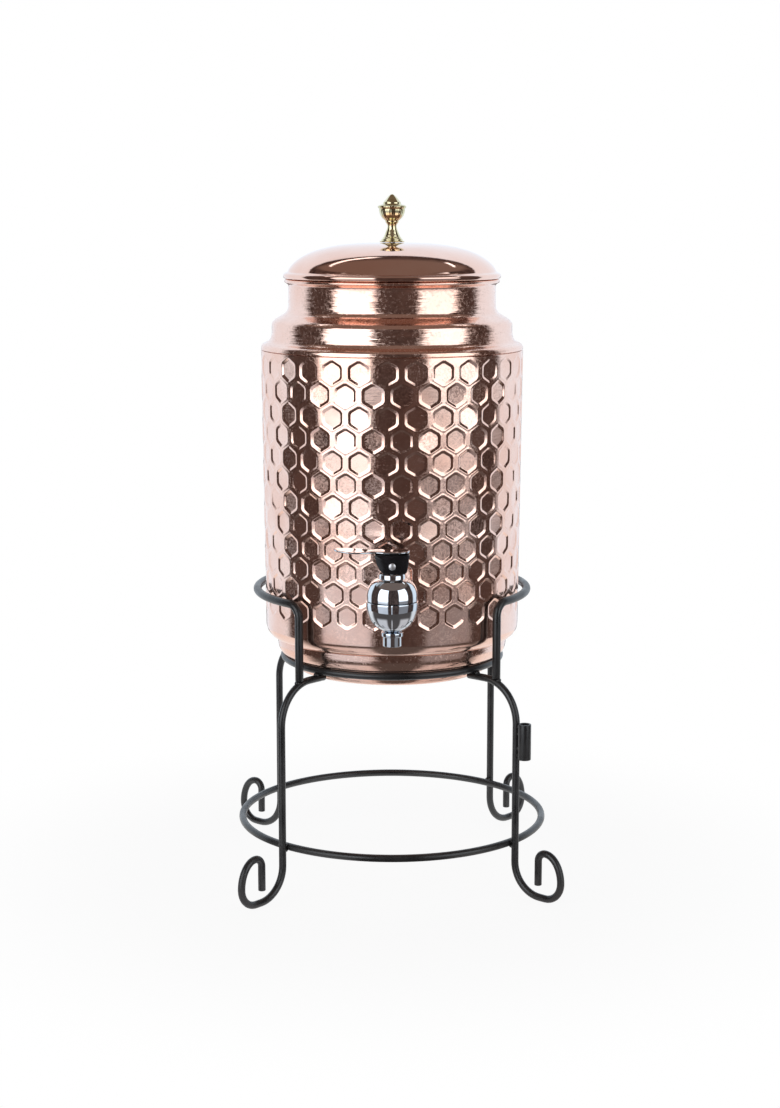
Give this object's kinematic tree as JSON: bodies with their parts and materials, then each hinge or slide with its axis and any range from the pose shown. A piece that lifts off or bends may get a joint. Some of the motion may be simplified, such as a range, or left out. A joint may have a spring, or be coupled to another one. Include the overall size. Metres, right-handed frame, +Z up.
{
  "type": "water dispenser",
  "caption": "Copper water dispenser: honeycomb-embossed pot with a lift-off lid and a chromed lever tap, held in a black bent-rod stand with scroll feet.",
  "frame": {"origin": "on the floor, under the middle of the whole dispenser's box", "axes": "+Z up, -Y towards the tap, +X to the right of someone who faces the tap"},
  "size_m": [0.231, 0.2478, 0.4709],
  "materials": {
    "copper": "polished, faintly brushed copper",
    "iron_black": "satin black powder coat",
    "chrome": "mirror",
    "brass": "polished",
    "steel": "plain",
    "black_plastic": "semi-gloss",
    "rubber": "matt",
    "silicone": "matt, milky"
  },
  "bodies": {
    "stand": {"leg_front_right": "iron_black", "leg_front_left": "iron_black", "leg_back_right": "iron_black", "leg_back_left": "iron_black", "support_ring": "iron_black", "lower_ring": "iron_black", "cradle_rail": "iron_black", "holder_socket": "iron_black"},
    "pot": {"pot_base": "copper", "pot_barrel": "copper", "pot_shoulder": "copper", "tap_body": "chrome", "tap_bonnet": "chrome", "outer_washer": "rubber", "inner_washer": "rubber", "tap_nut": "brass"},
    "lid": {"lid_shell": "copper", "lid_collar": "copper", "lid_knob": "brass", "knob_washer": "steel", "knob_screw": "steel"},
    "swivel": {"spring_washer": "steel", "stem_spring": "steel"},
    "stem": {"tap_stem": "steel", "seat_cup": "silicone"},
    "lever": {"lever_hub": "black_plastic", "lever_pin": "steel", "lever_paddle": "chrome"}
  },
  "joints": [
    {"name": "pot_lift", "type": "slide", "parent": "stand", "child": "pot", "axis": [0, 0, 1], "range_m": [0, 0.15]},
    {"name": "lid_lift", "type": "slide", "parent": "pot", "child": "lid", "axis": [0, 0, 1], "range_m": [0, 0.1]},
    {"name": "lever_swivel", "type": "hinge", "parent": "pot", "child": "swivel", "pos_m": [0, -0.10691, 0.2235], "axis": [0, 0, 1], "range_deg": [-45, 225]},
    {"name": "stem_lift", "type": "slide", "parent": "swivel", "child": "stem", "axis": [0, 0, 1], "range_m": [0, 0.0026], "stiffness_N_per_m": 300, "springref_m": -0.008, "deforming": ["stem_spring"]},
    {"name": "lever_tilt", "type": "hinge", "parent": "stem", "child": "lever", "pos_m": [0, -0.10691, 0.2349], "axis": [0, -1, 0], "range_deg": [0, 50]}
  ],
  "couplings": [
    {"joint": "lever_tilt", "follows": "stem_lift", "rad_per_m": 333.33}
  ]
}
